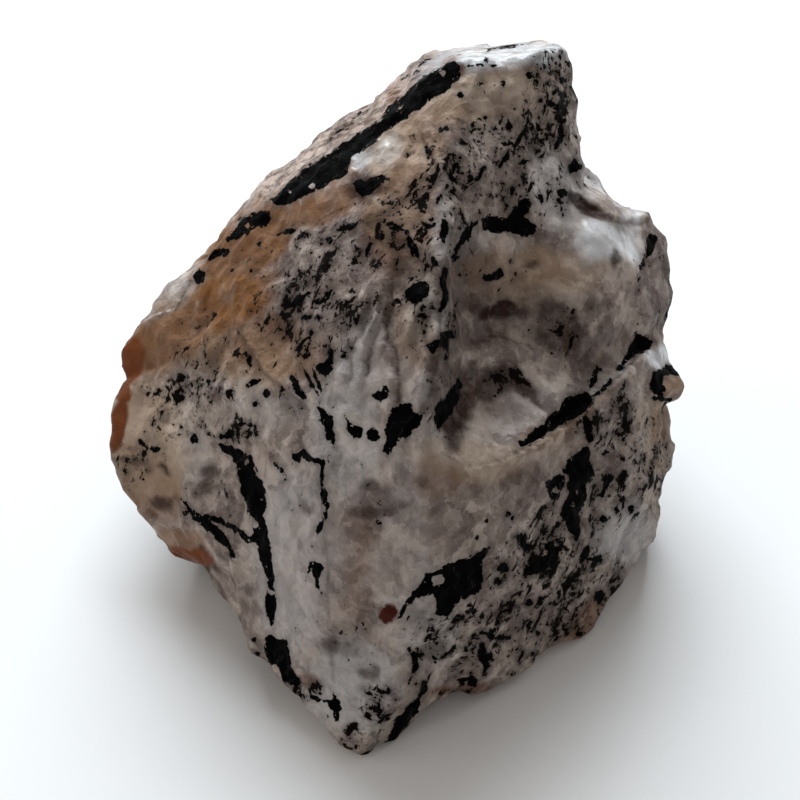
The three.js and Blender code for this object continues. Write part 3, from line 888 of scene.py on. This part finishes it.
def stained(n, colour):
    """The weathered crest, cream, ochre and rust stains, brown stains and painted shade, and creases of
    painted shade and stain.
    """
    crest_tone = n.mix(n.ramp(n.noise(420, 4, 0.75), 0.40, 0.60), "crest dark", "crest pale")
    colour = n.tint(colour, n.layer("crest"), 0.85, crest_tone)
    cream_tone = n.mix(n.noise(360, 3, 0.6), "cream dark", "cream pale")
    colour = n.tint(colour, n.layer("cream"), 0.8, cream_tone)
    patchy = n.math("MULTIPLY", n.layer("ochre"), n.ramp(n.noise(260, 3, 0.62), -0.1, 0.5), clamp=True)
    ochre_tone = n.mix(n.noise(420, 3, 0.6), "ochre dark", "ochre pale")
    colour = n.mix(patchy, colour, ochre_tone)
    # Brown stains, and painted shade in the hollow, in the furrow and between the laths.
    brown_stain_and_shade = n.math("MULTIPLY", n.layer("brown_stain_and_shade"), n.ramp(n.noise(330, 4, 0.65), 0.12, 0.55))
    colour = n.mix(brown_stain_and_shade, colour, "brown_stain_and_shade")
    # Painted shade and stain in the creases at the foot of the ledges.
    colour = n.tint(colour, n.layer("crease_shade_and_stain"), 0.9, "crease_shade_and_stain")
    blotches = n.math("MULTIPLY", n.math("SUBTRACT", n.noise(420, 3, 0.6), 0.5), 0.5)
    rust = n.math("ADD", n.layer("rust"), blotches)
    rust_tone = n.mix(n.noise(300, 3, 0.6), "rust dark", "rust pale")
    return n.mix(n.ramp(rust, 0.08, 0.85), colour, rust_tone)


def speckling(n, speckled):
    """The loose dark specks, and the murk around them: clumps, dots and two sets of slanting streaks."""
    steep = dict(stretch=(1, 1, 2.4), turn=(0, 52, 51), warp=0.5)
    falling = dict(stretch=(1, 1, 2.4), turn=(0, 114, -26), warp=0.5)
    cloudy = n.ramp(n.noise(210, 3, 0.6), 0.42, 0.62)
    crowded = n.math("MULTIPLY", speckled, n.line(cloudy, 0.50, 0.74))
    specks, murk = 0.0, 0.0
    for field, least, most in (
        (n.noise(420, 4, 0.72), 0.74, 0.560),
        (n.noise(1000, 3, 0.62), 0.74, 0.600),
        (n.noise(1900, 2, 0.55), 0.77, 0.665),
        (n.noise(640, 3, 0.66, **steep), 0.74, 0.585),
        (n.noise(800, 3, 0.66, **falling), 0.77, 0.610),
    ):
        over = n.math("SUBTRACT", field, n.line(crowded, most - least, least))
        specks = n.math("MAXIMUM", specks, n.ramp(over, -0.004, 0.020))
        murk = n.math("MAXIMUM", murk, n.ramp(over, -0.11, 0.0))
    murk = n.math("MAXIMUM", n.math("MULTIPLY", murk, 0.55), n.math("MULTIPLY", cloudy, 0.85))
    return specks, n.math("MULTIPLY", murk, speckled)


def stone_material():
    n = Nodes("stone")
    black = n.layer("black")
    colour = stained(n, pale_grains(n))
    specks, murk = speckling(n, n.layer("speckled"))

    # The black minerals have frayed rims, small pale grains in them, and a dim rim in the stone around.
    fray = n.math("MULTIPLY", n.math("SUBTRACT", n.noise(760, 4, 0.64), 0.5), 1.4)
    torn = n.math("MULTIPLY", n.ramp(n.noise(1900, 2, 0.6), 0.65, 0.72), 0.5)
    near_black = n.math("ADD", black, fray)
    inked = n.ramp(n.math("SUBTRACT", near_black, torn), -0.03, 0.05)
    dim = n.math("MULTIPLY", n.ramp(near_black, -1.0, 0.1), n.line(n.layer("speckled"), 0.5, 0.2))
    colour = n.mix(n.math("MAXIMUM", murk, dim), colour, "murk")
    colour = n.mix(specks, colour, "speck")
    # Lighter streaks in the black minerals: a painted sheen.
    painted_sheen = n.ramp(n.noise(900, 3, 0.7, stretch=(1, 1, 4), turn=(0, 20, 10)), 0.58, 0.74)
    colour = n.mix(inked, colour, n.mix(painted_sheen, "ink", "painted_sheen"))
    garnet = n.ramp(n.math("ADD", n.layer("garnet"), fray), -0.35, 0.15)
    colour = n.mix(garnet, colour, "garnet")

    # Broken crystal faces glint a little, and the worn stone has a wet-looking skin.
    bare = n.math("SUBTRACT", 1.0, n.math("MAXIMUM", inked, specks))
    clean = n.math("SUBTRACT", 1.0, n.layer("rust"), clamp=True)
    gloss = n.line(n.math("MULTIPLY", n.layer("glossy"), clean), 0.85, 0.1)

    # A fine bump, weaker where the stone is smooth.
    facets = n.add("ShaderNodeTexVoronoi", {"Vector": n.place, "Scale": 420}, feature="F1")
    grain = n.math("MULTIPLY", n.noise(1300, 4, 0.68), 0.7)
    grain = n.math("ADD", grain, n.math("MULTIPLY", facets.outputs["Distance"], 1.2))
    strength = n.line(n.layer("smooth"), -0.45, 0.8)
    bump = n.add("ShaderNodeBump", {"Height": grain, "Strength": strength, "Distance": 0.0006})

    n.feed(n.shader, {
        "Base Color": colour,
        "Roughness": n.line(n.ramp(n.noise(520, 3), 0.35, 0.7), -0.25, 0.75),
        "Specular IOR Level": 0.02,
        "Coat Weight": n.math("MULTIPLY", gloss, bare),
        "Coat Roughness": 0.2,
        "Normal": bump.outputs["Normal"],
    })
    return n.material


def build_skin(frame):
    mesh = bare_copy(frame["nodes"]["rock"])
    split_edges(mesh)
    split_edges(mesh)
    refine(mesh, ledge_distance, LEDGE_BAND, LEDGE_EDGE)
    carve(mesh)
    refine(mesh, rim_distance, RIM_BAND, RIM_EDGE)
    paint(mesh)
    mesh.shade_smooth()
    skin = bpy.data.objects.new("rock_skin", mesh)
    bpy.context.scene.collection.objects.link(skin)
    mesh.materials.append(stone_material())
    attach(skin, "root")
    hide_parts("rock")


def build_floor():
    mesh = bpy.data.meshes.new("floor")
    signs = ((-1, -1), (1, -1), (1, 1), (-1, 1))
    mesh.from_pydata([(FLOOR_REACH * x, FLOOR_REACH * y, 0) for x, y in signs], [], [(0, 1, 2, 3)])
    floor = bpy.data.objects.new("floor", mesh)
    bpy.context.scene.collection.objects.link(floor)
    n = Nodes("floor")
    n.feed(n.shader, {"Base Color": FLOOR_TONE, "Roughness": 0.9})
    mesh.materials.append(n.material)


def add_light(name, azimuth, elevation, size, power, colour):
    """A soft square light that aims at the middle of the stone. Azimuth 0 is in front, 90 to the right."""
    light = bpy.data.lights.new(name, "AREA")
    light.size = size
    light.energy = power
    light.color = colour
    lamp = bpy.data.objects.new(name, light)
    turn, rise = math.radians(azimuth), math.radians(elevation)
    place = np.array([math.sin(turn) * math.cos(rise), -math.cos(turn) * math.cos(rise), math.sin(rise)])
    lamp.location = place * LIGHT_DISTANCE + np.array([0, 0, LIGHT_AIM])
    lamp.rotation_euler = (math.pi / 2 - rise, 0, turn)
    bpy.context.scene.collection.objects.link(lamp)


def add_camera():
    camera = bpy.data.cameras.new("camera")
    camera.sensor_width = 36
    camera.lens = camera.sensor_width * EYE_DISTANCE / VIEW_WIDTH
    camera.clip_start = 0.01
    eye = bpy.data.objects.new("camera", camera)
    eye.location = EYE * MM
    eye.rotation_euler = (math.pi / 2 - EYE_ELEVATION, 0, 0)
    bpy.context.scene.collection.objects.link(eye)
    bpy.context.scene.camera = eye


def light_scene():
    world = bpy.data.worlds.new("world")
    world.use_nodes = True
    sky = world.node_tree.nodes["Background"]
    sky.inputs["Color"].default_value = SKY_TONE
    sky.inputs["Strength"].default_value = SKY_STRENGTH
    bpy.context.scene.world = world
    add_light("window", azimuth=185, elevation=38, size=0.7, power=14, colour=(0.86, 0.94, 1.0))
    add_light("fill", azimuth=285, elevation=22, size=0.9, power=1.5, colour=(1.0, 0.94, 0.87))
    add_light("glint", azimuth=112, elevation=44, size=0.14, power=0.3, colour=(0.84, 0.93, 1.0))
    bpy.context.scene.view_settings.view_transform = "Standard"


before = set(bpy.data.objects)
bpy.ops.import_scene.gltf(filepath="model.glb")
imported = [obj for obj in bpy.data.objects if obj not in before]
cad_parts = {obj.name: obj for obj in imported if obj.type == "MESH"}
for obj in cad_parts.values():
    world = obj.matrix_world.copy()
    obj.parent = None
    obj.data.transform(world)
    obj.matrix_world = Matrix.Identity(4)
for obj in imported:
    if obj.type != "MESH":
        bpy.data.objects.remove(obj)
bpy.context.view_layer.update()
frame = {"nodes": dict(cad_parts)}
add_camera()
light_scene()
build_floor()
build_skin(frame)
